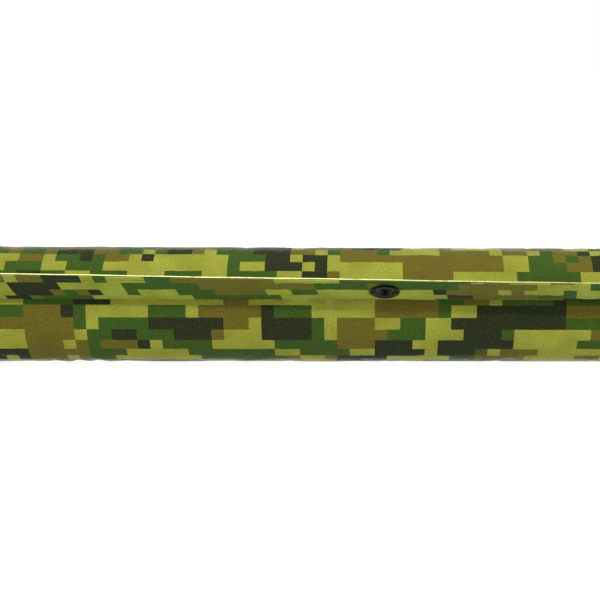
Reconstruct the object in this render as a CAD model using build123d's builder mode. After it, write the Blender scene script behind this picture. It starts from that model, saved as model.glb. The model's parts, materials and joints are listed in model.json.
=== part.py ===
from build123d import *

import os
from math import atan2, cos, degrees, radians, sin

# Padded forearm guard. A round sleeve of two shells folds open on a hinge line low at the back. A flange of two plies
# runs along the front of the sleeve and closes it with hook-and-loop tape and one ring-shaped press stud.
#
# Frame: the origin is on the arm's axis at mid length, +X points to the wrist, -Y to the flange's side and +Z up.
# Angles round the sleeve are in degrees, counted from -Y upwards. All lengths are in millimetres.

# Sleeve
LENGTH = 384.0
ELBOW_RADIUS = 35.15
WRIST_RADIUS = 33.85
BORE_RADIUS = 27.0

# Layers, from the arm outwards
LINING = 0.6
COMFORT_FOAM = 1.9
PLATE = 1.2
COVER = 0.7
LAYER_GAP = 0.05
PLATE_INSET = 7.0

# End bindings
BINDING_WIDTH = 8.0
BINDING_WALL = 1.0
BINDING_PROUD = 0.35
BINDING_ROUND = 0.8

# Flange: two plies that lean up from the sleeve, more at the elbow than at the wrist
ROOT_ANGLE = 16.7
LEAN_ELBOW = 41.6
LEAN_WRIST = 28.2
FLANGE_HALF = 183.7
FLANGE_WIDTH = 25.2
PLY = 0.6
PLY_SPACE = 1.1
LIP_SPACE = 0.1
ROOT_SPACE = 0.5
ROOT_LIFT = 0.1
RAMP_ROOT = 5.0
RAMP_LIP = 22.2
LIP_LAND = 1.0

# Hook-and-loop tape between the plies, in two lengths with a break at the stud
TAPE_START = 6.0
TAPE_WIDTH = 16.0
TAPE_CLEAR = 0.12
TAPE_END_INSET = 3.0
STUD_BREAK = 11.0

# Press stud: cap and socket on the lower ply, stud and post on the upper. Heights are along the stud's axis.
STUD_X = 51.0
STUD_OUT = 14.3
CAP_RADIUS = 8.5
CAP_RIM = 1.2
CAP_RIM_ROLL = 1.0
CAP_VALLEY = 0.7
VALLEY_RADIUS = 6.0
CAP_RING = 1.5
RING_RADIUS = 3.95
RING_HALF_WIDTH = 0.65
BARREL_RADIUS = 2.5
BARREL_BORE = 1.9
SOCKET_RADIUS = 6.0
SOCKET_BORE = 3.7
SOCKET_FLOOR = 0.36
SOCKET_TOP = 0.55
SOCKET_ROUND = 0.3
SPRING_RADIUS = 3.75
SPRING_WIRE = 0.25
SPRING_HEIGHT = 0.05
STUD_FOOT_RADIUS = 5.0
FOOT_LOW = 0.7
NECK_RADIUS = 2.75
BULB_RADIUS = 3.15
BULB_HEIGHT = -0.1
BULB_TIP = -0.45
BULB_ROUND = 0.5
POST_RADIUS = 5.25
POST_CREST_RADIUS = 3.4
POST_DOME = 1.1
POST_MOUTH = 0.65
RIVET_RADIUS = 1.45
RIVET_BORE = 0.9
RIVET_END = 0.0
RIVET_FIT = 0.05

# Splits between the two shells
SPLIT_HALF_GAP = 0.6
HINGE_HALF_GAP = 0.15
SIDE_WALL_ANGLE = 1.3
SIDE_WALL_GAP_ANGLE = 0.1

ARM_AXIS = Axis((0, 0, 0), (-1, 0, 0))
HALF = LENGTH / 2
COVER_HALF = HALF - BINDING_WIDTH

LINING_OUTER = BORE_RADIUS + LINING
FOAM_INNER = LINING_OUTER + LAYER_GAP
FOAM_OUTER = FOAM_INNER + COMFORT_FOAM
PLATE_INNER = FOAM_OUTER + LAYER_GAP
PLATE_OUTER = PLATE_INNER + PLATE
IMPACT_INNER = PLATE_OUTER + LAYER_GAP


def outer_radius(x):
    """Radius of the cover at station x, which tapers evenly from elbow to wrist."""
    return ELBOW_RADIUS + (x / LENGTH + 0.5) * (WRIST_RADIUS - ELBOW_RADIUS)


def arc_angle(arc, radius):
    """Angle that an arc of this length takes at this radius."""
    return degrees(arc / radius)


def skin_point(x, arc, lift):
    """Point (y, z) beside the flange's root: an arc up the cover from the split, and a lift above the cover."""
    radius = outer_radius(x)
    angle = radians(ROOT_ANGLE) + arc / radius
    return (-(radius + lift) * cos(angle), (radius + lift) * sin(angle))


def flange_end_point(x, lean, out, up):
    """Point (y, z) in an end section of the flange that leans by this angle above the horizontal."""
    y, z = skin_point(x, 0, 0)
    a = radians(lean)
    return (y - out * cos(a) + up * sin(a), z + out * sin(a) + up * cos(a))


def flange_point(x, out, up):
    """Point (y, z) of the flange at station x, out from the root and up from its middle plane."""
    elbow = flange_end_point(-FLANGE_HALF, LEAN_ELBOW, out, up)
    wrist = flange_end_point(FLANGE_HALF, LEAN_WRIST, out, up)
    share = (x + FLANGE_HALF) / (2 * FLANGE_HALF)
    return tuple(a + share * (b - a) for a, b in zip(elbow, wrist))


# The hinge line lies where the flange's plane at the stud comes out of the sleeve, so the stud pulls out straight.
stud_root = flange_point(STUD_X, 0, 0)
stud_centre = flange_point(STUD_X, STUD_OUT, 0)
stud_lean = degrees(atan2(stud_centre[1] - stud_root[1], stud_root[0] - stud_centre[0]))
hinge_angle = 2 * stud_lean + 180 - ROOT_ANGLE
hinge_radius = ELBOW_RADIUS + BINDING_PROUD
hinge_line = (-hinge_radius * cos(radians(hinge_angle)), hinge_radius * sin(radians(hinge_angle)))

# Angles that each shell spans between its two splits
split_gap = arc_angle(SPLIT_HALF_GAP, outer_radius(0))
hinge_gap = arc_angle(HINGE_HALF_GAP, outer_radius(0))
SPANS = {
    "lower": (hinge_angle - 360 + hinge_gap, ROOT_ANGLE - split_gap),
    "upper": (ROOT_ANGLE + split_gap, hinge_angle - hinge_gap),
}

# The stud's own frame: its axis stands square to the flange, up through both plies
up_y, up_z = sin(radians(stud_lean)), cos(radians(stud_lean))
stud_origin = (STUD_X, stud_centre[0], stud_centre[1])
stud_axis = Axis(stud_origin, (0, up_y, up_z))
stud_section = Plane(origin=stud_origin, x_dir=(1, 0, 0), z_dir=(0, -up_z, up_y))
stud_face = Plane(origin=stud_origin, x_dir=(1, 0, 0), z_dir=(0, up_y, up_z))


def radial_plane(angle):
    """Plane through the arm's axis, with local x along the axis and local y outwards at this angle."""
    a = radians(angle)
    return Plane(origin=(0, 0, 0), x_dir=(1, 0, 0), z_dir=(0, -sin(a), -cos(a)))


def ring_section(start_x, end_x, inner, skin):
    """Corner points (x, radius) of a layer from a fixed inner radius to a depth below the cover's surface."""
    return [
        (start_x, inner),
        (end_x, inner),
        (end_x, outer_radius(end_x) - skin),
        (start_x, outer_radius(start_x) - skin),
    ]


def tube_section(half_length, inner, outer):
    """Corner points (x, radius) of a layer with two fixed radii."""
    return [(-half_length, inner), (half_length, inner), (half_length, outer), (-half_length, outer)]


def layer(section, start, end):
    """Closed layer that sweeps a section round the arm's axis between two angles."""
    with BuildPart() as piece:
        with BuildSketch(radial_plane(start)):
            with BuildLine():
                Polyline(*section, close=True)
            make_face()
        revolve(axis=ARM_AXIS, revolution_arc=end - start)
    return piece


def cover(start, end):
    """Outer skin with a side wall at each split, open towards the arm and at both ends."""
    with BuildPart() as piece:
        with BuildSketch(radial_plane(start)):
            with BuildLine():
                Polyline(*ring_section(-COVER_HALF, COVER_HALF, FOAM_INNER, 0), close=True)
            make_face()
        revolve(axis=ARM_AXIS, revolution_arc=end - start)
        with BuildSketch(radial_plane(start + SIDE_WALL_ANGLE)):
            with BuildLine():
                Polyline(*ring_section(-HALF, HALF, BORE_RADIUS, COVER), close=True)
            make_face()
        revolve(axis=ARM_AXIS, revolution_arc=end - start - 2 * SIDE_WALL_ANGLE, mode=Mode.SUBTRACT)
    return piece


def binding(toward, start, end):
    """Tape bound round one end of a shell: a rounded channel with a pocket for the padding."""
    inner_edge = toward * (COVER_HALF + LAYER_GAP)
    pocket_end = toward * (HALF - BINDING_WALL)
    with BuildPart() as piece:
        with BuildSketch(radial_plane(start)):
            with BuildLine():
                Polyline(*ring_section(inner_edge, toward * HALF, BORE_RADIUS, -BINDING_PROUD), close=True)
            make_face()
            fillet(vertices().group_by(Axis.X)[-1 if toward > 0 else 0], BINDING_ROUND)
        revolve(axis=ARM_AXIS, revolution_arc=end - start)
        with BuildSketch(radial_plane(start + SIDE_WALL_ANGLE)):
            with BuildLine():
                Polyline(*ring_section(0, pocket_end, LINING_OUTER, COVER), close=True)
            make_face()
        revolve(axis=ARM_AXIS, revolution_arc=end - start - 2 * SIDE_WALL_ANGLE, mode=Mode.SUBTRACT)
    return piece


def ply_outline(x, side):
    """Outline of one ply at station x. Side is 1 for the upper ply and -1 for the lower."""
    ramp_end = FLANGE_WIDTH - LIP_LAND
    return [
        skin_point(x, side * ROOT_SPACE, ROOT_LIFT),
        flange_point(x, RAMP_ROOT, side * PLY_SPACE),
        flange_point(x, RAMP_LIP, side * PLY_SPACE),
        flange_point(x, ramp_end, side * LIP_SPACE),
        flange_point(x, FLANGE_WIDTH, side * LIP_SPACE),
        flange_point(x, FLANGE_WIDTH, side * (LIP_SPACE + PLY)),
        flange_point(x, ramp_end, side * (LIP_SPACE + PLY)),
        flange_point(x, RAMP_LIP, side * (PLY_SPACE + PLY)),
        flange_point(x, RAMP_ROOT, side * (PLY_SPACE + PLY)),
        skin_point(x, side * (ROOT_SPACE + PLY), ROOT_LIFT),
    ]


def tape_outline(x, side):
    """Outline at station x of the tape on the inside of one ply."""
    near, far = side * TAPE_CLEAR, side * (PLY_SPACE - LAYER_GAP)
    end = TAPE_START + TAPE_WIDTH
    corners = [(TAPE_START, near), (end, near), (end, far), (TAPE_START, far)]
    return [flange_point(x, out, up) for out, up in corners]


def flange_ply(side, hole_radius):
    """One ply of the flange, lofted from the elbow to the wrist, with the hole for its half of the stud."""
    with BuildPart() as piece:
        for x in (-FLANGE_HALF, FLANGE_HALF):
            with BuildSketch(Plane.YZ.offset(x)):
                with BuildLine():
                    Polyline(*ply_outline(x, side), close=True)
                make_face()
        loft(ruled=True)
        with BuildSketch(stud_face):
            Circle(hole_radius)
        extrude(amount=side * 2 * (PLY_SPACE + PLY), mode=Mode.SUBTRACT)
    return piece


def tape(side):
    """Two lengths of tape on the inside of one ply, with a break at the stud."""
    tape_end = FLANGE_HALF - TAPE_END_INSET
    with BuildPart() as piece:
        for start, end in ((-tape_end, STUD_X - STUD_BREAK), (STUD_X + STUD_BREAK, tape_end)):
            for x in (start, end):
                with BuildSketch(Plane.YZ.offset(x)):
                    with BuildLine():
                        Polyline(*tape_outline(x, side), close=True)
                    make_face()
            loft(ruled=True)
    return piece


def write(piece, name):
    """Label a finished piece and save it."""
    piece.part.label = name
    export_step(piece.part, f"parts/{name}.step")


os.makedirs("parts", exist_ok=True)

# Both shells have the same layers: lining, comfort foam, stiffener plate, impact foam and cover, bound at both ends.
pad_half = HALF - BINDING_WALL - LAYER_GAP
for shell, (start, end) in SPANS.items():
    pad_start = start + SIDE_WALL_ANGLE + SIDE_WALL_GAP_ANGLE
    pad_end = end - SIDE_WALL_ANGLE - SIDE_WALL_GAP_ANGLE

    write(cover(start, end), f"cover_{shell}")
    write(layer(tube_section(COVER_HALF, BORE_RADIUS, LINING_OUTER), start, end), f"lining_{shell}")
    write(layer(tube_section(pad_half, FOAM_INNER, FOAM_OUTER), pad_start, pad_end), f"comfort_foam_{shell}")

    plate_half = HALF - PLATE_INSET
    write(layer(tube_section(plate_half, PLATE_INNER, PLATE_OUTER), pad_start, pad_end), f"stiffener_{shell}")

    impact_section = ring_section(-pad_half, pad_half, IMPACT_INNER, COVER + LAYER_GAP)
    write(layer(impact_section, pad_start, pad_end), f"impact_foam_{shell}")

    write(binding(-1, start, end), f"binding_elbow_{shell}")
    write(binding(1, start, end), f"binding_wrist_{shell}")

write(flange_ply(1, RIVET_RADIUS + RIVET_FIT), "flange_upper")
write(flange_ply(-1, BARREL_RADIUS + RIVET_FIT), "flange_lower")
write(tape(1), "hook_tape")
write(tape(-1), "loop_tape")

# Heights along the stud's axis, from the flange's middle plane
ply_outside = PLY_SPACE + PLY
socket_base = -PLY_SPACE + LAYER_GAP
floor_top = socket_base + SOCKET_FLOOR
groove_low = SPRING_HEIGHT - SPRING_WIRE - RIVET_FIT
groove_high = SPRING_HEIGHT + SPRING_WIRE + RIVET_FIT
groove_radius = SPRING_RADIUS + SPRING_WIRE + RIVET_FIT
foot_high = PLY_SPACE - LAYER_GAP

# Cap on the outside of the lower ply: rolled rim, shallow valley and raised inner ring round an open barrel
cap_base = -ply_outside - LAYER_GAP
ring_shoulder = cap_base - (CAP_VALLEY + CAP_RING) / 2
rim_crest = (CAP_RADIUS - CAP_RIM_ROLL, cap_base - CAP_RIM)
rim_foot = (CAP_RADIUS - CAP_RIM_ROLL / 2, cap_base)
ring_outside = (RING_RADIUS + RING_HALF_WIDTH, ring_shoulder)
ring_inside = (RING_RADIUS - RING_HALF_WIDTH, ring_shoulder)
with BuildPart() as snap_cap:
    with BuildSketch(stud_section):
        with BuildLine():
            Polyline(
                ring_inside,
                (BARREL_BORE, cap_base),
                (BARREL_BORE, floor_top),
                (BARREL_RADIUS, floor_top),
                (BARREL_RADIUS, cap_base),
                rim_foot,
            )
            ThreePointArc(rim_foot, (CAP_RADIUS, cap_base - CAP_RIM / 2), rim_crest)
            ThreePointArc(rim_crest, (VALLEY_RADIUS, cap_base - CAP_VALLEY), ring_outside)
            ThreePointArc(ring_outside, (RING_RADIUS, cap_base - CAP_RING), ring_inside)
        make_face()
    revolve(axis=stud_axis)
write(snap_cap, "snap_cap")

# Socket on the inside of the lower ply, with a groove for the ring spring
with BuildPart() as snap_socket:
    with BuildSketch(stud_section):
        with BuildLine():
            Polyline(
                (BARREL_RADIUS + RIVET_FIT, socket_base),
                (SOCKET_RADIUS, socket_base),
                (SOCKET_RADIUS, SOCKET_TOP),
                (SOCKET_BORE, SOCKET_TOP),
                (SOCKET_BORE, groove_high),
                (groove_radius, groove_high),
                (groove_radius, groove_low),
                (SOCKET_BORE, groove_low),
                (SOCKET_BORE, floor_top),
                (BARREL_RADIUS + RIVET_FIT, floor_top),
                close=True,
            )
        make_face()
        fillet(vertices().group_by(Axis.X)[-1], SOCKET_ROUND)
    revolve(axis=stud_axis)
write(snap_socket, "snap_socket")

with BuildPart() as snap_spring:
    with BuildSketch(stud_section):
        with Locations((SPRING_RADIUS, SPRING_HEIGHT)):
            Circle(SPRING_WIRE)
    revolve(axis=stud_axis)
write(snap_spring, "snap_spring")

# Stud on the inside of the upper ply, with its bulb down in the socket
neck_top = (NECK_RADIUS, groove_high)
bulb_rim = (BULB_RADIUS - BULB_ROUND, BULB_TIP)
with BuildPart() as snap_stud:
    with BuildSketch(stud_section):
        with BuildLine():
            Polyline(
                bulb_rim,
                (RIVET_RADIUS + RIVET_FIT, BULB_TIP),
                (RIVET_RADIUS + RIVET_FIT, foot_high),
                (STUD_FOOT_RADIUS, foot_high),
                (STUD_FOOT_RADIUS, FOOT_LOW),
                (NECK_RADIUS, FOOT_LOW),
                neck_top,
            )
            ThreePointArc(neck_top, (BULB_RADIUS, BULB_HEIGHT), bulb_rim)
        make_face()
    revolve(axis=stud_axis)
write(snap_stud, "snap_stud")

# Post on the outside of the upper ply: a domed ring whose rivet holds the stud
post_base = ply_outside + LAYER_GAP
post_mouth = (RIVET_BORE, post_base + POST_MOUTH)
post_rim = (POST_RADIUS, post_base)
with BuildPart() as snap_post:
    with BuildSketch(stud_section):
        with BuildLine():
            Polyline(
                post_mouth,
                (RIVET_BORE, RIVET_END),
                (RIVET_RADIUS, RIVET_END),
                (RIVET_RADIUS, post_base),
                post_rim,
            )
            ThreePointArc(post_rim, (POST_CREST_RADIUS, post_base + POST_DOME), post_mouth)
        make_face()
    revolve(axis=stud_axis)
write(snap_post, "snap_post")

# Joint lines: the hinge at the back, and the fold of the upper ply along its root
peel_line = [skin_point(x, ROOT_SPACE + PLY, ROOT_LIFT) for x in (-FLANGE_HALF, FLANGE_HALF)]
print(f"hinge line at y {hinge_line[0]:.3f}, z {hinge_line[1]:.3f}")
for x, (y, z) in zip((-FLANGE_HALF, FLANGE_HALF), peel_line):
    print(f"peel line at x {x}, y {y:.3f}, z {z:.3f}")
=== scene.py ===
import json
import math

import bmesh
import bpy
import numpy as np
from mathutils import Matrix, Vector


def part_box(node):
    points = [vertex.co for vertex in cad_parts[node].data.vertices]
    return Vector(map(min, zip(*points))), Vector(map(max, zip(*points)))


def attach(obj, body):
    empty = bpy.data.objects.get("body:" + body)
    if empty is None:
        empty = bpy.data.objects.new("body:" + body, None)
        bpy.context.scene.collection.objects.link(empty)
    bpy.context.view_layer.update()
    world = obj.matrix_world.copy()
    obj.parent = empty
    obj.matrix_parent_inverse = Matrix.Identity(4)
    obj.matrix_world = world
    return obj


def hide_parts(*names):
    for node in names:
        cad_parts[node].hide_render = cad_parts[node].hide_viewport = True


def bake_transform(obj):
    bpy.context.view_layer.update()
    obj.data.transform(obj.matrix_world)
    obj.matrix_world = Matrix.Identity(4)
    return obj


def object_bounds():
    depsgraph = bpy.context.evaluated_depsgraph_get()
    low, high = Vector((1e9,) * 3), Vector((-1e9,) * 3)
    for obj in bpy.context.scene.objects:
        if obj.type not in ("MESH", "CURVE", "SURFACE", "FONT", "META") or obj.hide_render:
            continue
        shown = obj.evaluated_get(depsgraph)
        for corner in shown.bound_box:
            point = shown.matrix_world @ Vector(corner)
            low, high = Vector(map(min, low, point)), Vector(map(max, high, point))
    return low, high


# Looks of the padded forearm guard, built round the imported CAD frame. Metres, in the frame's own axes: +X
# along the arm to the wrist, -Y to the closing flange, +Z up. Angles round the sleeve run from -Y upwards, in
# radians.

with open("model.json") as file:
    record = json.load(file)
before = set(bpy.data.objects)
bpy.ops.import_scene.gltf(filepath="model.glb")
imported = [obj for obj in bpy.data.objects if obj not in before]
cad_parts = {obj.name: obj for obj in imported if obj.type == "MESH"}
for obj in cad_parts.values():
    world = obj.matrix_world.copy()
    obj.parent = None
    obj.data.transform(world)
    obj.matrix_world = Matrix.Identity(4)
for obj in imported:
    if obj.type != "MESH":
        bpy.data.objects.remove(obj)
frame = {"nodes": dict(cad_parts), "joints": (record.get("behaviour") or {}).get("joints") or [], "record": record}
cad_low, cad_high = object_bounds()
nodes = frame["nodes"]
joints = {joint["name"]: joint for joint in frame["joints"]}

# ------------------------------------------------------------------------------------------
# Sizes
# ------------------------------------------------------------------------------------------

# Flange, as the CAD has it
LEAN_ELBOW = math.radians(41.6)
LEAN_WRIST = math.radians(28.2)
FLANGE_WIDTH = 0.0252
PLY = 0.0006
PLY_SPACE = 0.0011
LIP_SPACE = 0.0001
ROOT_SPACE = 0.0005
RAMP_ROOT = 0.005
RAMP_LIP = 0.0222
TAPE_START = 0.006
TAPE_WIDTH = 0.016
TAPE_CLEAR = 0.00012
TAPE_END_INSET = 0.003
STUD_BREAK = 0.011
STUD_OUT = 0.0143

# Cloth and padding
CLOTH = 0.0006
EDGE_ROUND = 0.0006
SPLIT_HALF_GAP = 0.0006
HINGE_HALF_GAP = 0.00015
BINDING_PROUD = 0.00035
BINDING_ROUND = 0.0016
LINING_THICK = 0.00055
QUILT_DEPTH = 0.00045
QUILT_AROUND = 0.019
QUILT_ROWS = 12
QUILT_ROW_PITCH = 0.030
QUILT_REACH = 0.0042
HINGE_TAPE_HALF = 0.0075
HINGE_TAPE_LIFT = 0.0003
HINGE_TAPE_THICK = 0.0005
STITCH_PITCH = 0.003
STITCH_LENGTH = 0.0022
THREAD_RADIUS = 0.0002
BINDING_STITCH = 0.0024
SOCKET_HOLE = 0.0026
POST_HOLE = 0.0015
FLOOR_DROP = 0.0003
CLOTH_SWELL = (-0.00025, 0.0006)
PLY_SWELL = (-0.0003, 0.00045)
TABLE_LIFT = 0.0003
TABLE_HALF_ANGLE = math.radians(16)
ROOT_GROOVE = 0.00045
ROOT_GROOVE_AT = 0.0012
ROOT_GROOVE_HALF = 0.0016

# Print
CAMO_CELL = 0.0074

# Camera, at the photograph's angle
CAMERA_AZIMUTH = math.radians(2.63)
CAMERA_ELEVATION = math.radians(10.0)
CAMERA_ROLL = math.radians(-0.336)
CAMERA_DISTANCE = 0.8527
CAMERA_TARGET = Vector((0.00008, 0.0, 0.00269))
CAMERA_LENS = 84.0


def node_points(name):
    """All the points of a CAD node, as an array."""
    return np.array([v.co for v in nodes[name].data.vertices], float)


def end_radius(points, at_low_end):
    """Largest distance from the arm's axis at one end of a node."""
    x = points[:, 0]
    at_end = x < x.min() + 1e-4 if at_low_end else x > x.max() - 1e-4
    return float(np.hypot(points[at_end, 1], points[at_end, 2]).max())


cover_points = node_points("cover_upper")
COVER_HALF = float(cover_points[:, 0].max())
ELBOW_RADIUS = end_radius(cover_points, True)
WRIST_RADIUS = end_radius(cover_points, False)
BORE_RADIUS = frame["record"]["mounts"][0]["dims"]["r_mm"] / 1000
FLANGE_HALF = float(node_points("flange_lower")[:, 0].max())
HALF = float(node_points("binding_wrist_upper")[:, 0].max())
STUD_X = float(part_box("snap_stud")[0].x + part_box("snap_stud")[1].x) / 2


def outer_radius(x):
    """Radius of the cover at station x."""
    share = (np.asarray(x, float) + COVER_HALF) / (2 * COVER_HALF)
    return ELBOW_RADIUS + share * (WRIST_RADIUS - ELBOW_RADIUS)


def angle_of(point):
    """Angle round the sleeve of a point (x, y, z)."""
    return math.atan2(point[2], -point[1])


MID_RADIUS = float(outer_radius(0))
ROOT_ANGLE = angle_of(joints["flange_peel"]["pos_m"]) - (ROOT_SPACE + PLY) / MID_RADIUS
HINGE_ANGLE = angle_of(joints["opening"]["pos_m"])
HINGE_GAP_ANGLE = HINGE_HALF_GAP / MID_RADIUS
SPLIT_GAP_ANGLE = SPLIT_HALF_GAP / MID_RADIUS
SPANS = {
    "lower": (HINGE_ANGLE + HINGE_GAP_ANGLE, ROOT_ANGLE - SPLIT_GAP_ANGLE),
    "upper": (ROOT_ANGLE + SPLIT_GAP_ANGLE, HINGE_ANGLE + 2 * math.pi - HINGE_GAP_ANGLE),
}


def sleeve_point(x, angle, radius):
    """Points at a station, an angle and a distance from the arm's axis. All may be arrays."""
    x, angle, radius = np.broadcast_arrays(x, angle, radius)
    return np.stack([x, -radius * np.cos(angle), radius * np.sin(angle)], axis=-1)


def flange_point(x, out, up):
    """Points of the flange: out from its root, and up from its middle plane, with the CAD's even twist."""
    x, out, up = np.broadcast_arrays(np.asarray(x, float), out, up)
    ends = []
    for end_x, lean in ((-FLANGE_HALF, LEAN_ELBOW), (FLANGE_HALF, LEAN_WRIST)):
        radius = float(outer_radius(end_x))
        y = -radius * math.cos(ROOT_ANGLE) - out * math.cos(lean) + up * math.sin(lean)
        z = radius * math.sin(ROOT_ANGLE) + out * math.sin(lean) + up * math.cos(lean)
        ends.append((y, z))
    share = (x + FLANGE_HALF) / (2 * FLANGE_HALF)
    y = ends[0][0] + share * (ends[1][0] - ends[0][0])
    z = ends[0][1] + share * (ends[1][1] - ends[0][1])
    return np.stack([x, y, z], axis=-1)


def smooth(t):
    """0 to 1, eased at both ends."""
    t = np.clip(t, 0, 1)
    return t * t * (3 - 2 * t)


def bump(x, centre, half_width):
    """1 at the centre, falling smoothly to 0 at the half width."""
    return smooth(1 - np.abs(x - centre) / half_width)


# ------------------------------------------------------------------------------------------
# Mesh helpers
# ------------------------------------------------------------------------------------------


def new_mesh(name, points, faces, uv, materials, face_slots=None, sharp=math.radians(50)):
    """Mesh object with one UV map named cloth, given as one pair for each point."""
    mesh = bpy.data.meshes.new(name)
    mesh.from_pydata([tuple(p) for p in points], [], faces)
    layer = mesh.uv_layers.new(name="cloth")
    corner_points = np.zeros(len(mesh.loops), np.int32)
    mesh.loops.foreach_get("vertex_index", corner_points)
    layer.data.foreach_set("uv", np.asarray(uv, np.float32)[corner_points].ravel())
    for material in materials:
        mesh.materials.append(material)
    if face_slots is not None:
        mesh.polygons.foreach_set("material_index", np.asarray(face_slots, np.int32))
    tidy = bmesh.new()
    tidy.from_mesh(mesh)
    bmesh.ops.recalc_face_normals(tidy, faces=tidy.faces)
    tidy.to_mesh(mesh)
    tidy.free()
    mesh.shade_smooth()
    mesh.set_sharp_from_angle(angle=sharp)
    thing = bpy.data.objects.new(name, mesh)
    bpy.context.scene.collection.objects.link(thing)
    return thing


def grid_faces(rows, columns, start=0, flip=False):
    """Quads of a grid whose points run along the columns first."""
    faces = []
    for i in range(rows - 1):
        for j in range(columns - 1):
            a = start + i * columns + j
            quad = (a, a + 1, a + columns + 1, a + columns)
            faces.append(quad[::-1] if flip else quad)
    return faces


def cloth_solid(name, outer, inner, uv, material, rim_material=None, open_cells=None):
    """Closed piece of cloth between two grids of points. Open cells are holes right through it, and the rim
    beyond the last column has its own material where one is given."""
    rows, columns = outer.shape[:2]
    count = rows * columns
    solid_cell = np.ones((rows - 1, columns - 1), bool) if open_cells is None else ~open_cells
    framed = np.pad(solid_cell, 1)
    faces, slots = [], []
    for i, j in np.argwhere(solid_cell):
        a = int(i) * columns + int(j)
        quad = (a, a + 1, a + columns + 1, a + columns)
        faces += [quad, tuple(k + count for k in reversed(quad))]
        slots += [0, 0]
        beside = (framed[i, j + 1], framed[i + 1, j + 2], framed[i + 2, j + 1], framed[i + 1, j])
        for side, taken in enumerate(beside):
            if taken:
                continue
            start, end = quad[side], quad[(side + 1) % 4]
            faces.append((end, start, start + count, end + count))
            slots.append(1 if rim_material is not None and side == 1 and j == columns - 2 else 0)
    materials = [material] if rim_material is None else [material, rim_material]
    points = np.concatenate([outer.reshape(-1, 3), inner.reshape(-1, 3)])
    both_uv = np.concatenate([uv.reshape(-1, 2), uv.reshape(-1, 2)])
    return new_mesh(name, points, faces, both_uv, materials, slots)


def grid_normals(points):
    """Unit normals of a grid of points, from its rows and columns."""
    along = np.gradient(points, axis=0)
    across = np.gradient(points, axis=1)
    normals = np.cross(along, across)
    return normals / np.maximum(np.linalg.norm(normals, axis=-1, keepdims=True), 1e-12)


# ------------------------------------------------------------------------------------------
# Materials
# ------------------------------------------------------------------------------------------


class Nodes:
    """Short way to make shader nodes and join them."""

    def __init__(self, name):
        self.material = bpy.data.materials.new(name)
        self.material.use_nodes = True
        self.tree = self.material.node_tree
        self.shader = self.tree.nodes["Principled BSDF"]

    def make(self, kind, inputs=(), **settings):
        node = self.tree.nodes.new(kind)
        for key, value in settings.items():
            setattr(node, key, value)
        for key, value in dict(inputs).items():
            self.put(value, node.inputs[key])
        return node

    def put(self, value, socket):
        if isinstance(value, bpy.types.NodeSocket):
            self.tree.links.new(value, socket)
        else:
            socket.default_value = value

    def math(self, operation, a, b=0.0, c=0.0, clamp=False):
        node = self.make("ShaderNodeMath", {0: a, 1: b, 2: c}, operation=operation, use_clamp=clamp)
        return node.outputs[0]

    def vector(self, operation, a, b=(0, 0, 0)):
        return self.make("ShaderNodeVectorMath", {0: a, 1: b}, operation=operation).outputs[0]

    def mix(self, share, a, b, blend="MIX"):
        node = self.make("ShaderNodeMix", data_type="RGBA", blend_type=blend)
        self.put(share, node.inputs["Factor"])
        self.put(a, node.inputs["A"])
        self.put(b, node.inputs["B"])
        return node.outputs["Result"]

    def noise(self, vector, scale, detail=2.0, roughness=0.5, w=None):
        inputs = {"Vector": vector, "Scale": scale, "Detail": detail, "Roughness": roughness}
        if w is None:
            return self.make("ShaderNodeTexNoise", inputs, noise_dimensions="3D").outputs["Fac"]
        inputs["W"] = w
        return self.make("ShaderNodeTexNoise", inputs, noise_dimensions="4D").outputs["Fac"]

    def ramp(self, value, low, high, to_low=0.0, to_high=1.0):
        inputs = {"Value": value, "From Min": low, "From Max": high, "To Min": to_low, "To Max": to_high}
        return self.make("ShaderNodeMapRange", inputs).outputs["Result"]

    def flat(self):
        """The cloth's own flat coordinates, in metres."""
        return self.make("ShaderNodeUVMap", uv_map="cloth").outputs["UV"]

    def bump(self, height, strength, distance, normal=None):
        inputs = {"Height": height, "Strength": strength, "Distance": distance}
        if normal is not None:
            inputs["Normal"] = normal
        return self.make("ShaderNodeBump", inputs).outputs["Normal"]

    def finish(self, **sockets):
        for key, value in sockets.items():
            self.put(value, self.shader.inputs[key.replace("_", " ")])
        return self.material


def srgb(red, green, blue):
    """Linear colour, with alpha, from a colour given as 0 to 255."""
    parts = []
    for value in (red, green, blue):
        share = value / 255
        parts.append(share / 12.92 if share <= 0.04045 else ((share + 0.055) / 1.055) ** 2.4)
    return (*parts, 1.0)


def weave(n, flat, pitch):
    """Height of a plain weave with this distance between threads."""
    sines = []
    parts = n.make("ShaderNodeSeparateXYZ", {0: flat})
    for axis in ("X", "Y"):
        turns = n.math("MULTIPLY", parts.outputs[axis], 2 * math.pi / pitch)
        sines.append(n.math("SINE", turns))
    return n.math("MULTIPLY", sines[0], sines[1])


# Inks of the print, and the two tones of the light ground that they leave bare
LIGHT = srgb(116, 118, 34)
PALE = srgb(128, 131, 46)
DOTS = srgb(84, 104, 48)
FOREST = srgb(45, 68, 16)
BROWN = srgb(84, 76, 19)
CHARCOAL = srgb(29, 34, 15)

# A layer covers the cells where its noise, of mean 0.5 and deviation 0.09, passes a threshold. Over one
# another the four layers leave, on average, 0.33 of the cloth bare, 0.28 forest, 0.23 brown, 0.16 charcoal.
# A patch is some cells wide and fewer high.
PATCH = (4.8, 2.8)
PRINT_LAYERS = [(FOREST, 0.49), (BROWN, 0.55), (CHARCOAL, 0.585), (LIGHT, 0.63)]


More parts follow.
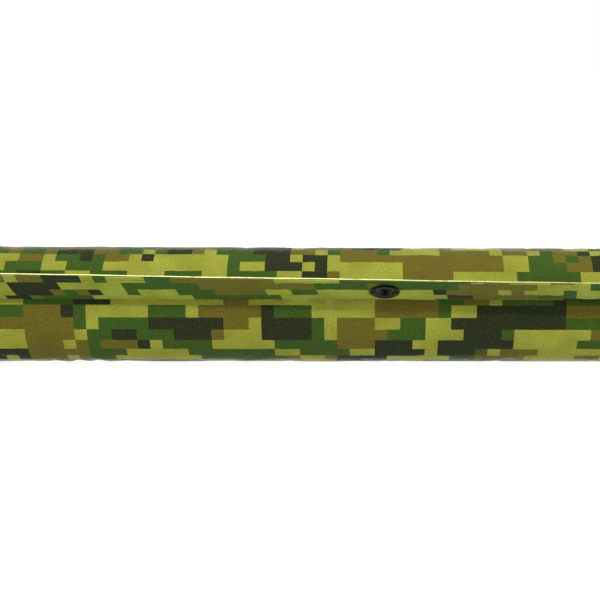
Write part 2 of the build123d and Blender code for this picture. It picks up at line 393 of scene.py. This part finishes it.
def camo_cloth(name, painted_light_cast, sheen):
    """Woven polyester with a square-celled camouflage of three inks on a light ground, times a tint by colour
    channel: painted light, which makes a copy of the cloth lighter and greener where light falls on it
    differently.
    """
    n = Nodes(name)
    flat = n.flat()
    scaled = n.vector("MULTIPLY", flat, (1 / CAMO_CELL, 1 / CAMO_CELL, 0))
    cell = n.vector("ADD", n.vector("FLOOR", scaled), (0.5, 0.5, 0))
    tone = n.noise(flat, 38.0, detail=2.0)
    ground = n.mix(n.ramp(tone, 0.35, 0.65), LIGHT, PALE)
    colour = ground
    stretched = n.vector("MULTIPLY", cell, (1 / PATCH[0], 1 / PATCH[1], 1))
    for layer, (ink, threshold) in enumerate(PRINT_LAYERS):
        value = n.noise(stretched, 1.0, detail=1.0, roughness=0.45, w=layer + 0.5)
        colour = n.mix(n.math("GREATER_THAN", value, threshold), colour, ground if ink is LIGHT else ink)
    speckle = n.noise(flat, 1050.0, detail=2.0, roughness=0.75)
    patchy = n.noise(flat, 70.0, detail=4.0, roughness=0.6)
    faded = n.noise(flat, 380.0, detail=2.0)
    tint = n.math("MULTIPLY", n.ramp(speckle, 0.3, 0.7, 0.66, 1.34), n.ramp(patchy, 0.3, 0.7, 0.92, 1.08))
    # The cast multiplies the colour channel by channel: painted light, used on the flange's copy of the cloth.
    tints = [n.math("MULTIPLY", tint, share) for share in painted_light_cast]
    tinted = n.vector("MULTIPLY", colour, n.make("ShaderNodeCombineXYZ", dict(enumerate(tints))).outputs[0])
    dots = n.math("MULTIPLY", n.math("GREATER_THAN", speckle, 0.57), n.ramp(faded, 0.4, 0.62, 0.03, 0.2))
    worn = n.mix(dots, tinted, DOTS)
    threads = weave(n, flat, 0.00055)
    wander = n.noise(flat, 260.0, detail=3.0)
    normal = n.bump(wander, 0.3, 0.0005)
    normal = n.bump(threads, 0.3, 0.00012, normal)
    rough = n.ramp(speckle, 0.2, 0.8, 0.7, 0.88)
    return n.finish(
        Base_Color=worn, Roughness=rough, Normal=normal, Sheen_Weight=sheen, Sheen_Roughness=0.16,
        Specular_IOR_Level=0.1,
    )


def raw_edge():
    """Pale cut edge of the cloth, with the ends of its threads."""
    n = Nodes("raw_edge")
    flat = n.flat()
    threads = n.noise(n.vector("MULTIPLY", flat, (1.0, 0.2, 1.0)), 1800.0, detail=2.0)
    pale = n.mix(n.ramp(threads, 0.35, 0.7), srgb(196, 196, 112), srgb(244, 244, 190))
    stained = n.noise(flat, 85.0, detail=3.0, roughness=0.7)
    # Along X the pale edge is made duller towards the wrist end, and the noise adds patchy stains.
    along = n.make("ShaderNodeSeparateXYZ", {0: n.make("ShaderNodeTexCoord").outputs["Object"]}).outputs["X"]
    stains_and_wrist_dulling = n.math("ADD", n.ramp(stained, 0.5, 0.7, 0.0, 0.5), n.ramp(along, 0.0, 0.16, 0.0, 0.6))
    colour = n.mix(n.math("MINIMUM", stains_and_wrist_dulling, 0.85), pale, LIGHT)
    normal = n.bump(threads, 0.4, 0.0002)
    return n.finish(Base_Color=colour, Roughness=0.85, Normal=normal, Sheen_Weight=0.4, Sheen_Roughness=0.4)


def dark_cloth(name, dark, light, pitch, sheen):
    """Plain dark cloth with visible ribs."""
    n = Nodes(name)
    flat = n.flat()
    threads = weave(n, flat, pitch)
    wander = n.noise(flat, 400.0, detail=3.0)
    colour = n.mix(n.ramp(wander, 0.35, 0.65), dark, light)
    normal = n.bump(threads, 0.6, pitch / 3, n.bump(wander, 0.3, 0.0005))
    rough = n.ramp(wander, 0.2, 0.8, 0.7, 0.92)
    return n.finish(
        Base_Color=colour, Roughness=rough, Normal=normal, Sheen_Weight=sheen, Sheen_Roughness=0.4,
        Specular_IOR_Level=0.2,
    )


def foam(name, dark, light, pores):
    """Cut foam with fine pores."""
    n = Nodes(name)
    place = n.make("ShaderNodeTexCoord").outputs["Object"]
    cells = n.make("ShaderNodeTexVoronoi", {"Vector": place, "Scale": pores}).outputs["Distance"]
    grain = n.noise(place, pores / 3, detail=3.0)
    colour = n.mix(n.ramp(grain, 0.3, 0.7), dark, light)
    return n.finish(Base_Color=colour, Roughness=0.9, Normal=n.bump(cells, 0.5, 0.0003))


def plate_plastic():
    """Extruded sheet with faint draw lines along the arm."""
    n = Nodes("plate_plastic")
    place = n.make("ShaderNodeTexCoord").outputs["Object"]
    lines = n.noise(n.vector("MULTIPLY", place, (0.05, 1.0, 1.0)), 700.0, detail=3.0)
    colour = n.mix(lines, srgb(28, 28, 28), srgb(44, 44, 44))
    rough = n.ramp(lines, 0.3, 0.7, 0.4, 0.6)
    return n.finish(Base_Color=colour, Roughness=rough, Normal=n.bump(lines, 0.2, 0.0002))


def black_enamel():
    """Glossy black enamel on metal, with fine dust and handling marks."""
    n = Nodes("black_enamel")
    place = n.make("ShaderNodeTexCoord").outputs["Object"]
    dust = n.noise(place, 2500.0, detail=3.0, roughness=0.7)
    marks = n.noise(n.vector("MULTIPLY", place, (1.0, 3.0, 0.4)), 900.0, detail=4.0)
    colour = n.mix(n.ramp(dust, 0.55, 0.8), srgb(3, 3, 4), srgb(18, 18, 18))
    rough = n.ramp(marks, 0.35, 0.75, 0.08, 0.2)
    return n.finish(
        Base_Color=colour, Roughness=rough, Normal=n.bump(marks, 0.08, 0.0001), Specular_IOR_Level=0.5,
        Specular_Tint=(0.05, 0.05, 0.05, 1),
    )


def spring_wire():
    """Drawn steel wire."""
    n = Nodes("spring_wire")
    place = n.make("ShaderNodeTexCoord").outputs["Object"]
    lines = n.noise(place, 3000.0, detail=2.0)
    colour = n.mix(lines, srgb(150, 150, 152), srgb(196, 196, 198))
    return n.finish(Base_Color=colour, Roughness=n.ramp(lines, 0.3, 0.7, 0.2, 0.38), Metallic=1.0)


CAMO = camo_cloth("camo_cloth", (1.0, 1.0, 1.0), sheen=1.0)
# The flange's copy of the cloth is painted lighter and greener by its cast, standing in for light falling on the
# flange's face. It also has less sheen.
CAMO_FLANGE = camo_cloth("camo_cloth_flange", (1.04, 1.16, 1.25), sheen=0.15)
RAW_EDGE = raw_edge()
LINING = dark_cloth("lining_cloth", srgb(26, 28, 25), srgb(40, 43, 38), 0.0008, 0.5)
BINDING = dark_cloth("binding_tape", srgb(26, 31, 20), srgb(44, 50, 32), 0.0007, 0.3)
HOOKS = dark_cloth("hook_side", srgb(20, 22, 17), srgb(36, 40, 30), 0.0009, 0.1)
LOOPS = dark_cloth("loop_side", srgb(24, 27, 20), srgb(42, 46, 34), 0.0012, 0.8)
THREAD = dark_cloth("thread", srgb(70, 76, 44), srgb(96, 102, 60), 0.0004, 0.3)
IMPACT_FOAM = foam("impact_foam", srgb(60, 60, 60), srgb(80, 80, 80), 1600.0)
COMFORT_FOAM = foam("comfort_foam", srgb(185, 183, 168), srgb(205, 203, 190), 1200.0)
PLATE = plate_plastic()
ENAMEL = black_enamel()
WIRE = spring_wire()

CAD_MATERIALS = {
    "impact_foam": IMPACT_FOAM,
    "comfort_foam": COMFORT_FOAM,
    "stiffener": PLATE,
    "snap_spring": WIRE,
    "snap": ENAMEL,
}


def paint_cad_nodes():
    """Gives every CAD node that stays its material."""
    for name, thing in nodes.items():
        for start, material in CAD_MATERIALS.items():
            if name.startswith(start):
                thing.data.materials.clear()
                thing.data.materials.append(material)
                break


# ------------------------------------------------------------------------------------------
# Cloth simulation
# ------------------------------------------------------------------------------------------


def relaxed(name, grid, pinned, growth, pressure, seed, frames=20):
    """Points of a sheet held at its pins, cut too long and pushed out by light pressure, once it settles."""
    rows, columns = grid.shape[:2]
    uneven = np.random.default_rng(seed).normal(0, 0.00006, (rows, columns, 1)) * ~pinned[..., None]
    mesh = bpy.data.meshes.new(name)
    start = (grid + grid_normals(grid) * uneven).reshape(-1, 3)
    mesh.from_pydata([tuple(p) for p in start], [], grid_faces(rows, columns))
    sheet = bpy.data.objects.new(name, mesh)
    bpy.context.scene.collection.objects.link(sheet)
    pins = sheet.vertex_groups.new(name="pins")
    pins.add([int(k) for k in np.flatnonzero(pinned)], 1.0, "REPLACE")
    cloth = sheet.modifiers.new("Cloth", "CLOTH")
    cloth.settings.quality = 5
    cloth.settings.mass = 0.3
    cloth.settings.tension_stiffness = 20
    cloth.settings.compression_stiffness = 20
    cloth.settings.shear_stiffness = 5
    cloth.settings.bending_stiffness = 0.05
    cloth.settings.vertex_group_mass = "pins"
    cloth.settings.shrink_min = -growth
    cloth.settings.use_pressure = True
    cloth.settings.uniform_pressure_force = pressure
    cloth.settings.effector_weights.gravity = 0.0
    cloth.collision_settings.use_collision = False
    scene = bpy.context.scene
    for frame_number in range(1, frames + 1):
        scene.frame_set(frame_number)
    evaluated = sheet.evaluated_get(bpy.context.evaluated_depsgraph_get())
    settled = np.zeros(rows * columns * 3)
    evaluated.data.vertices.foreach_get("co", settled)
    bpy.data.objects.remove(sheet)
    bpy.data.meshes.remove(mesh)
    scene.frame_set(1)
    return settled.reshape(rows, columns, 3)


# ------------------------------------------------------------------------------------------
# Sleeve
# ------------------------------------------------------------------------------------------

STEP_ALONG = 0.0016
STEP_AROUND = 0.0019
SHELL_BODY = {"lower": "lower_shell", "upper": "upper_shell"}

# Where each piece of printed cloth is cut from the roll, in whole cells, and how its cells fall on the piece
CUTS = {
    "lower": ((0, 0), (0.0010, 0.0030)),
    "upper": ((100, 50), (0.0025, 0.0020)),
    "flange_lower": ((200, 100), (0.0065, 0.0070)),
    "flange_upper": ((300, 150), (0.0065, 0.0070)),
}


def cut_uv(piece, along, across):
    """Flat coordinates on the roll of cloth for places on a piece."""
    (cells_along, cells_across), (offset_along, offset_across) = CUTS[piece]
    u = along - offset_along + cells_along * CAMO_CELL
    v = across - offset_across + cells_across * CAMO_CELL
    return np.stack(np.broadcast_arrays(u, v), axis=-1)


def stations(start, end, step):
    """Evenly spaced stations from start to end."""
    return np.linspace(start, end, int(round((end - start) / step)) + 1)


def shell_path(start, end):
    """Outline of a shell's cover across the arm: angles, and depths below the surface."""
    wall = np.linspace(MID_RADIUS - BORE_RADIUS - 0.0008, EDGE_ROUND, 5)
    turn = np.linspace(0, math.pi / 2, 5)[1:]
    corner_angle = (1 - np.cos(turn)) * EDGE_ROUND / MID_RADIUS
    corner_depth = (1 - np.sin(turn)) * EDGE_ROUND
    first = start + EDGE_ROUND / MID_RADIUS
    last = end - EDGE_ROUND / MID_RADIUS
    middle = stations(first, last, STEP_AROUND / MID_RADIUS)[1:-1]
    angles = np.concatenate(
        [np.full(5, start), start + corner_angle, middle, (end - corner_angle)[::-1], np.full(5, end)]
    )
    depths = np.concatenate([wall, corner_depth, np.zeros(len(middle)), corner_depth[::-1], wall[::-1]])
    return angles, depths


def handling_wrinkles(x, angle):
    """Lift of the few wrinkles that a worn sleeve keeps: low along its underside and beside its ends."""
    wave_height, wave_length = 0.0006, 0.0165
    under = bump(angle, math.radians(-84), math.radians(26)) * bump(x, -0.128, 0.045)
    waves = wave_height * (np.sin(x * 2 * math.pi / wave_length + 1.3 * np.sin(x * 95)) - 0.5) * under
    gather_height, gather_reach = 0.00022, 0.03
    ends = bump(np.abs(x), COVER_HALF, gather_reach)
    gathers = gather_height * np.sin(angle * 34 + 1.7 * np.sin(angle * 9)) * ends
    return waves + gathers


def make_cover(side):
    """Printed cover of one shell, over its foam and round both of its long edges."""
    start, end = SPANS[side]
    angles, depths = shell_path(start, end)
    x = stations(-COVER_HALF, COVER_HALF, STEP_ALONG)[:, None]
    radius = outer_radius(x) - depths[None, :]
    flat_out = sleeve_point(x, angles[None, :], radius)
    inner = sleeve_point(x, angles[None, :], radius - CLOTH)
    face = np.flatnonzero(depths < 1e-6)
    face = slice(int(face[0]), int(face[-1]) + 1)
    sheet = flat_out[:, face]
    pinned = np.zeros(sheet.shape[:2], bool)
    pinned[[0, -1], :] = True
    pinned[:, [0, -1]] = True
    settled = relaxed(f"settling_{side}", sheet, pinned, 0.004, 0.6, seed=5 if side == "lower" else 9)
    moved = np.hypot(settled[..., 1], settled[..., 2]) - radius[:, face]
    from_root = (end - angles[None, face]) * MID_RADIUS
    groove = ROOT_GROOVE * bump(from_root, ROOT_GROOVE_AT, ROOT_GROOVE_HALF) * (side == "lower")
    low_on_table = np.abs(angles[None, face] + math.radians(90)) < TABLE_HALF_ANGLE
    lift = np.clip(moved * 0.7, *CLOTH_SWELL) + handling_wrinkles(x, angles[None, face]) - groove
    lift = np.where(low_on_table, np.minimum(lift, TABLE_LIFT), lift)
    outer = flat_out.copy()
    outer[:, face] = sleeve_point(x, angles[None, face], radius[:, face] + lift)
    arc = (angles - ROOT_ANGLE) * MID_RADIUS
    walls = depths * np.where(angles > (start + end) / 2, 1, -1)
    uv = cut_uv(side, x, (arc + walls)[None, :])
    cover = cloth_solid(f"cover_cloth_{side}", outer, inner, uv, CAMO)
    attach(cover, SHELL_BODY[side])
    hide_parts(f"cover_{side}")


def make_lining(side):
    """Knitted lining, quilted to the comfort foam in channels along the arm and across it."""
    start, end = SPANS[side]
    angles = stations(start, end, 0.0016 / BORE_RADIUS)[None, :]
    x = stations(-COVER_HALF, COVER_HALF, STEP_ALONG)[:, None]
    channels = round((end - start) * BORE_RADIUS / QUILT_AROUND)
    across = (angles - start) / (end - start) * channels
    along = (x + COVER_HALF) / (2 * COVER_HALF) * QUILT_ROWS
    to_channel = np.abs(across - np.round(across)) * QUILT_AROUND
    to_row = np.abs(along - np.round(along)) * QUILT_ROW_PITCH
    depth = QUILT_DEPTH * (1 - smooth(np.minimum(to_channel, to_row) / QUILT_REACH))
    near = sleeve_point(x, angles, BORE_RADIUS + depth + 0.00001)
    far = sleeve_point(x, angles, np.full(depth.shape, BORE_RADIUS + LINING_THICK))
    uv = np.stack(np.broadcast_arrays(x, angles * BORE_RADIUS), axis=-1)
    lining = cloth_solid(f"lining_cloth_{side}", near, far, uv, LINING)
    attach(lining, SHELL_BODY[side])
    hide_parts(f"lining_{side}")


def stitch_row(name, points, normals, body, radius=THREAD_RADIUS):
    """Running stitches along a line of points, each a short thread that dives into the cloth at both ends."""
    line = np.asarray(points, float)
    steps = np.linalg.norm(np.diff(line, axis=0), axis=1)
    walked = np.concatenate([[0], np.cumsum(steps)])
    count = int(walked[-1] / STITCH_PITCH)
    corners, sections = 6, np.linspace(-0.5, 0.5, 6)
    all_points, all_uv, faces = [], [], []
    for k in range(count):
        middle = (k + 0.5) * walked[-1] / count
        first = len(all_points)
        for share in sections:
            at = middle + share * STITCH_LENGTH
            centre = np.array([np.interp(at, walked, line[:, axis]) for axis in range(3)])
            normal = np.array([np.interp(at, walked, np.asarray(normals)[:, axis]) for axis in range(3)])
            ahead = np.array([np.interp(at + 0.0005, walked, line[:, axis]) for axis in range(3)]) - centre
            behind = centre - np.array([np.interp(at - 0.0005, walked, line[:, axis]) for axis in range(3)])
            way = (ahead + behind) / max(np.linalg.norm(ahead + behind), 1e-9)
            aside = np.cross(way, normal)
            thick = radius * math.sqrt(max(1 - (2 * share) ** 2, 0.05))
            sunk = centre + normal * (thick * 0.6 - radius * 0.5)
            for corner in range(corners):
                turn = corner * 2 * math.pi / corners
                all_points.append(sunk + (aside * math.cos(turn) + normal * math.sin(turn)) * thick)
                all_uv.append((at, corner * radius))
        last = len(all_points) - corners
        for section in range(len(sections) - 1):
            a = first + section * corners
            for corner in range(corners):
                b = (corner + 1) % corners
                faces.append((a + corner, a + b, a + corners + b, a + corners + corner))
        faces.append(tuple(range(first, first + corners))[::-1])
        faces.append(tuple(range(last, last + corners)))
    row = new_mesh(name, np.array(all_points), faces, np.array(all_uv), [THREAD])
    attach(row, body)


def binding_path(toward):
    """Stations, radii and tape lengths of the binding, from its outer edge round the end to its inner one."""
    inner_edge = toward * (COVER_HALF + 0.00005)
    end = toward * HALF
    high = float(outer_radius(end)) + BINDING_PROUD
    high_edge = float(outer_radius(inner_edge)) + BINDING_PROUD
    turn = np.linspace(0, math.pi / 2, 7)
    outer_x = end - toward * BINDING_ROUND * (1 - np.sin(turn))
    outer_r = high - BINDING_ROUND * (1 - np.cos(turn))
    inner_x = end - toward * BINDING_ROUND * (1 - np.cos(turn))
    inner_r = BORE_RADIUS + BINDING_ROUND * (1 - np.sin(turn))
    lip_x = inner_edge + toward * np.array([0.0, 0.0, 0.00012, 0.0004])
    lip_r = high_edge - np.array([0.0009, 0.0004, 0.0001, 0.0])
    run_x = np.linspace(lip_x[-1], outer_x[0], 8)[1:-1]
    run_r = np.linspace(high_edge, high, 8)[1:-1]
    face_r = np.linspace(outer_r[-1], inner_r[0], 7)[1:-1]
    back_x = np.linspace(inner_x[-1], inner_edge, 6)[1:]
    path_x = np.concatenate([lip_x, run_x, outer_x, np.full(5, end), inner_x, back_x])
    path_r = np.concatenate([lip_r, run_r, outer_r, face_r, inner_r, np.full(5, BORE_RADIUS)])
    walked = np.concatenate([[0], np.cumsum(np.hypot(np.diff(path_x), np.diff(path_r)))])
    return path_x, path_r, walked


def make_binding(end_name, toward, side):
    """Ribbed tape folded over one end of a shell, sewn through near its edge."""
    start, end = SPANS[side]
    path_x, path_r, walked = binding_path(toward)
    angles = stations(start, end, 0.0009 / MID_RADIUS)
    columns = len(path_x)
    arc = (angles - start) * MID_RADIUS
    on_stitch = np.exp(-(((walked - BINDING_STITCH) / 0.0007) ** 2))[None, :]
    pulled = 0.00012 * on_stitch * (0.6 - 0.4 * np.cos(arc * 2 * math.pi / STITCH_PITCH))[:, None]
    ruffle = 0.00006 * np.sin(arc * 2 * math.pi / 0.0081 + 2 * np.sin(arc * 80))[:, None]
    held = (walked / walked[-1] < 0.62)[None, :]
    radius = path_r[None, :] - (pulled + ruffle * (1 - on_stitch) * 0.8) * held
    points = sleeve_point(path_x[None, :], angles[:, None], radius)
    uv = np.stack(np.broadcast_arrays(walked[None, :], arc[:, None]), axis=-1)
    faces = grid_faces(len(angles), columns)
    closing = [(i * columns + columns - 1, i * columns, (i + 1) * columns, (i + 1) * columns + columns - 1)
               for i in range(len(angles) - 1)]
    last = (len(angles) - 1) * columns
    caps = [tuple(range(columns))[::-1], tuple(range(last, last + columns))]
    name = f"binding_tape_{end_name}_{side}"
    tape = new_mesh(name, points.reshape(-1, 3), faces + closing + caps, uv.reshape(-1, 2), [BINDING])
    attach(tape, SHELL_BODY[side])
    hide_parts(f"binding_{end_name}_{side}")
    row_x = float(np.interp(BINDING_STITCH, walked, path_x))
    row_r = float(np.interp(BINDING_STITCH, walked, path_r))
    inset = 0.0015 / MID_RADIUS
    row_angles = np.linspace(start + inset, end - inset, 160)
    line = sleeve_point(row_x, row_angles, row_r)
    outwards = sleeve_point(0.0, row_angles, 1.0)
    stitch_row(f"binding_stitches_{end_name}_{side}", line, outwards, SHELL_BODY[side])


def make_hinge_tape():
    """Ribbed tape over the fold at the back, sewn to both shells."""
    half_angle = HINGE_TAPE_HALF / MID_RADIUS
    angles = np.linspace(HINGE_ANGLE - half_angle, HINGE_ANGLE + half_angle, 21)[None, :]
    x = stations(-COVER_HALF + 0.0002, COVER_HALF - 0.0002, STEP_ALONG)[:, None]
    across = (angles - HINGE_ANGLE) / half_angle
    edge = smooth((1 - np.abs(across)) / 0.12)
    ridge = 0.00025 * np.exp(-((across / 0.16) ** 2))
    ruffle = 0.00005 * np.sin(x * 2 * math.pi / 0.011 + 1.5 * np.sin(x * 60)) * (np.abs(across) > 0.3)
    top = HINGE_TAPE_LIFT + HINGE_TAPE_THICK * edge + ridge + ruffle
    outer = sleeve_point(x, angles, outer_radius(x) + top)
    inner = sleeve_point(x, angles, outer_radius(x) + 0.00005)
    uv = np.stack(np.broadcast_arrays(x, angles * MID_RADIUS), axis=-1)
    tape = cloth_solid("hinge_tape", outer, inner, uv, BINDING)
    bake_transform(tape)
    for side, sign in (("lower", 1), ("upper", -1)):
        angle = HINGE_ANGLE + sign * half_angle * 0.78
        row_x = np.linspace(-COVER_HALF + 0.002, COVER_HALF - 0.002, 200)
        line = sleeve_point(row_x, angle, outer_radius(row_x) + HINGE_TAPE_LIFT + HINGE_TAPE_THICK)
        outwards = sleeve_point(np.zeros(200), np.full(200, angle), 1.0)
        stitch_row(f"hinge_stitches_{side}", line, outwards, SHELL_BODY[side])


# ------------------------------------------------------------------------------------------
# Flange
# ------------------------------------------------------------------------------------------

SKEW_ELBOW = math.radians(13)
SKEW_WRIST = math.radians(6)
GRAIN_DRIFT = 0.0185
PLY_STEP = 0.0012


def flange_uv(piece, x, out):
    """Flat coordinates on the flange, whose grain runs a little askew to the sleeve's."""
    skew = SKEW_ELBOW + (x + FLANGE_HALF) / (2 * FLANGE_HALF) * (SKEW_WRIST - SKEW_ELBOW)
    return cut_uv(piece, x + out * np.tan(skew), out - GRAIN_DRIFT * x)


def ply_height(out):
    """Height of a ply's outer face above the middle plane, rounded over the tape inside."""
    root, full, lip = ROOT_SPACE + PLY, PLY_SPACE + PLY, LIP_SPACE + PLY
    rise = smooth(out / RAMP_ROOT)
    fall = smooth((out - RAMP_LIP + 0.002) / (FLANGE_WIDTH - RAMP_LIP + 0.001))
    return root + (full - root) * rise + (lip - full) * fall


def crease(x, out):
    """Depth of the flange's long crease, between its middle and the stud, and of those beside the stud."""
    depth, half_width = 0.00034, 0.0012
    line = 0.0118 + 0.0009 * np.sin(x * 22)
    long_one = depth * np.exp(-(((out - line) / half_width) ** 2)) * bump(x, -0.005, 0.062)
    depth, half_width = 0.0003, 0.0008
    fan = 0
    for spread in (-0.34, -0.16, 0.02, 0.2):
        away = x - STUD_X - 0.008
        line = STUD_OUT + spread * np.clip(away, 0, None) + 0.0007 * math.copysign(1, spread)
        fan = fan + depth * np.exp(-(((out - line) / half_width) ** 2)) * bump(away, 0.014, 0.016)
    return long_one + fan


def make_ply(side, hole):
    """One ply of the flange, 1 for the upper and -1 for the lower, with the hole for its half of the stud."""
    name = "upper" if side > 0 else "lower"
    x = stations(-FLANGE_HALF, FLANGE_HALF, PLY_STEP)[:, None]
    trim = 0.0 if side > 0 else 0.00045 + 0.0002 * np.sin(x * 29 - 1.2) + 0.00008 * np.sin(x * 210)
    out = -0.0003 + np.linspace(0, 1, 36)[None, :] * (FLANGE_WIDTH + 0.0003 - trim)
    height = ply_height(np.maximum(out, 0))
    flat_out = flange_point(x, out, side * height)
    from_stud = np.hypot(x - STUD_X, out - STUD_OUT)
    pinned = from_stud < 0.0098
    pinned[[0, -1], :] = True
    pinned[:, [0, -1]] = True
    settled = relaxed(f"settling_ply_{name}", flat_out, pinned, 0.006, 0.2, seed=3)
    square = flange_point(x, out, side * (height + 1.0)) - flange_point(x, out, side * height)
    square = square / np.linalg.norm(square, axis=-1, keepdims=True)
    moved = ((settled - flat_out) * square).sum(axis=-1)
    free = smooth((from_stud - 0.0088) / 0.003)
    lift = (np.clip(moved, *PLY_SWELL) - crease(x, out)) * free
    outer = flat_out + square * lift[..., None]
    inner = flange_point(x, out, side * (height - PLY))
    wave = (0.0002 * np.sin(x * 41 + 0.6) + 0.00012 * np.sin(x * 147)) * smooth((out - 0.02) / 0.0052)
    along_out = flange_point(x, out + 1.0, 0.0) - flange_point(x, out, 0.0)
    outer = outer + along_out * wave[..., None]
    inner = inner + along_out * wave[..., None]
    centre_x = (x[:-1] + x[1:]) / 2
    centre_out = (out[:1, :-1] + out[:1, 1:]) / 2
    open_cells = np.hypot(centre_x - STUD_X, centre_out - STUD_OUT) < hole + 0.0006
    uv = flange_uv(f"flange_{name}", x, out)
    edge = RAW_EDGE if side > 0 else None
    ply = cloth_solid(f"flange_cloth_{name}", outer, inner, uv, CAMO_FLANGE, edge, open_cells)
    if side > 0:
        held = tuple(map(float, flange_point(np.array(0.0), 0.0005, 0.0)))
        free_from = tuple(map(float, flange_point(np.array(0.0), 0.0045, 0.0)))
        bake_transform(ply)
    else:
        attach(ply, "lower_shell")
    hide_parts(f"flange_{name}")


def make_tape(side):
    """Hook tape under the upper ply or loop tape on the lower, in two lengths with a break at the stud."""
    if side > 0:
        node, material, body = "hook_tape", HOOKS, "closing_flange"
    else:
        node, material, body = "loop_tape", LOOPS, "lower_shell"
    tape_end = FLANGE_HALF - TAPE_END_INSET
    lengths = (("elbow", -tape_end, STUD_X - STUD_BREAK), ("wrist", STUD_X + STUD_BREAK, tape_end))
    draws = np.random.default_rng(21)
    for end_name, start, end in lengths:
        x = stations(start, end, 0.00065)[:, None]
        out = np.linspace(TAPE_START, TAPE_START + TAPE_WIDTH, 29)[None, :]
        rows, columns = x.shape[0], out.shape[1]
        to_edge = np.minimum(out - TAPE_START, TAPE_START + TAPE_WIDTH - out)
        selvedge = smooth(to_edge / 0.0016)
        if side > 0:
            stems = ((np.arange(rows)[:, None] % 2) * (np.arange(columns)[None, :] % 2)).astype(float)
            nap = stems * (0.75 + 0.25 * draws.random((rows, columns)))
        else:
            nap = 0.35 + 0.65 * draws.random((rows, columns))
        near = TAPE_CLEAR + 0.0005 - 0.00048 * nap * selvedge
        face = flange_point(x, out, side * near)
        back = flange_point(x, out, side * (PLY_SPACE - 0.00005))
        uv = np.stack(np.broadcast_arrays(x, out), axis=-1)
        tape = cloth_solid(f"{node}_{end_name}", face, back, uv, material)
        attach(tape, body)
        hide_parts(node)


# ------------------------------------------------------------------------------------------
# Stage
# ------------------------------------------------------------------------------------------


def make_camera():
    """Camera at the photograph's angle, with a slight roll."""
    sin_a, cos_a = math.sin(CAMERA_AZIMUTH), math.cos(CAMERA_AZIMUTH)
    sin_e, cos_e = math.sin(CAMERA_ELEVATION), math.cos(CAMERA_ELEVATION)
    back = Vector((sin_a * cos_e, -cos_a * cos_e, sin_e))
    right = Vector((cos_a, sin_a, 0.0))
    turned = Matrix.Rotation(CAMERA_ROLL, 3, back) @ right
    up = back.cross(turned)
    data = bpy.data.cameras.new("camera")
    data.lens = CAMERA_LENS
    data.sensor_width = 36.0
    data.clip_start = 0.01
    camera = bpy.data.objects.new("camera", data)
    place = CAMERA_TARGET + back * CAMERA_DISTANCE
    rows = [(turned[i], up[i], back[i], place[i]) for i in range(3)]
    camera.matrix_world = Matrix((*rows, (0, 0, 0, 1)))
    bpy.context.scene.collection.objects.link(camera)
    bpy.context.scene.camera = camera


def make_floor():
    """Luminous white table, as cut-out product shots have."""
    n = Nodes("white_table")
    place = n.make("ShaderNodeTexCoord").outputs["Object"]
    grain = n.noise(place, 40.0, detail=2.0)
    colour = n.mix(grain, (0.20, 0.20, 0.20, 1), (0.24, 0.24, 0.24, 1))
    material = n.finish(
        Base_Color=colour, Roughness=0.6, Specular_IOR_Level=0.1, Emission_Color=(1, 1, 1, 1),
        Emission_Strength=0.93,
    )
    size = 12.0
    low = cad_low.z - FLOOR_DROP
    corners = [(-size, -size, low), (size, -size, low), (size, size, low), (-size, size, low)]
    floor = new_mesh("floor", corners, [(0, 1, 2, 3)], np.array(corners)[:, :2], [material])


def make_light(name, place, size, power):
    """Soft rectangular light aimed at the middle of the sleeve."""
    data = bpy.data.lights.new(name, "AREA")
    data.shape = "RECTANGLE"
    data.size, data.size_y = size
    data.energy = power
    light = bpy.data.objects.new(name, data)
    light.location = place
    light.rotation_mode = "QUATERNION"
    light.rotation_quaternion = Vector(place).to_track_quat("Z", "Y")
    bpy.context.scene.collection.objects.link(light)


def make_studio():
    """Even white surroundings and two softboxes, left and right of the camera."""
    world = bpy.data.worlds.new("studio")
    world.use_nodes = True
    background = world.node_tree.nodes["Background"]
    background.inputs["Color"].default_value = (1, 1, 1, 1)
    background.inputs["Strength"].default_value = 1.0
    scene = bpy.context.scene
    scene.world = world
    scene.view_settings.view_transform = "Standard"
    make_light("softbox_overhead", (0.1, -0.75, 1.1), (1.0, 0.4), 7.0)
    make_light("softbox_left", (-0.4, -0.7, 0.7), (0.05, 0.05), 3.5)
    make_light("softbox_right", (0.5, -0.7, 0.7), (0.05, 0.05), 3.5)


paint_cad_nodes()
for shell in ("lower", "upper"):
    make_cover(shell)
    make_lining(shell)
    make_binding("elbow", -1, shell)
    make_binding("wrist", 1, shell)
make_hinge_tape()
make_ply(-1, hole=SOCKET_HOLE)
make_ply(1, hole=POST_HOLE)
make_tape(-1)
make_tape(1)
make_floor()
make_studio()
make_camera()
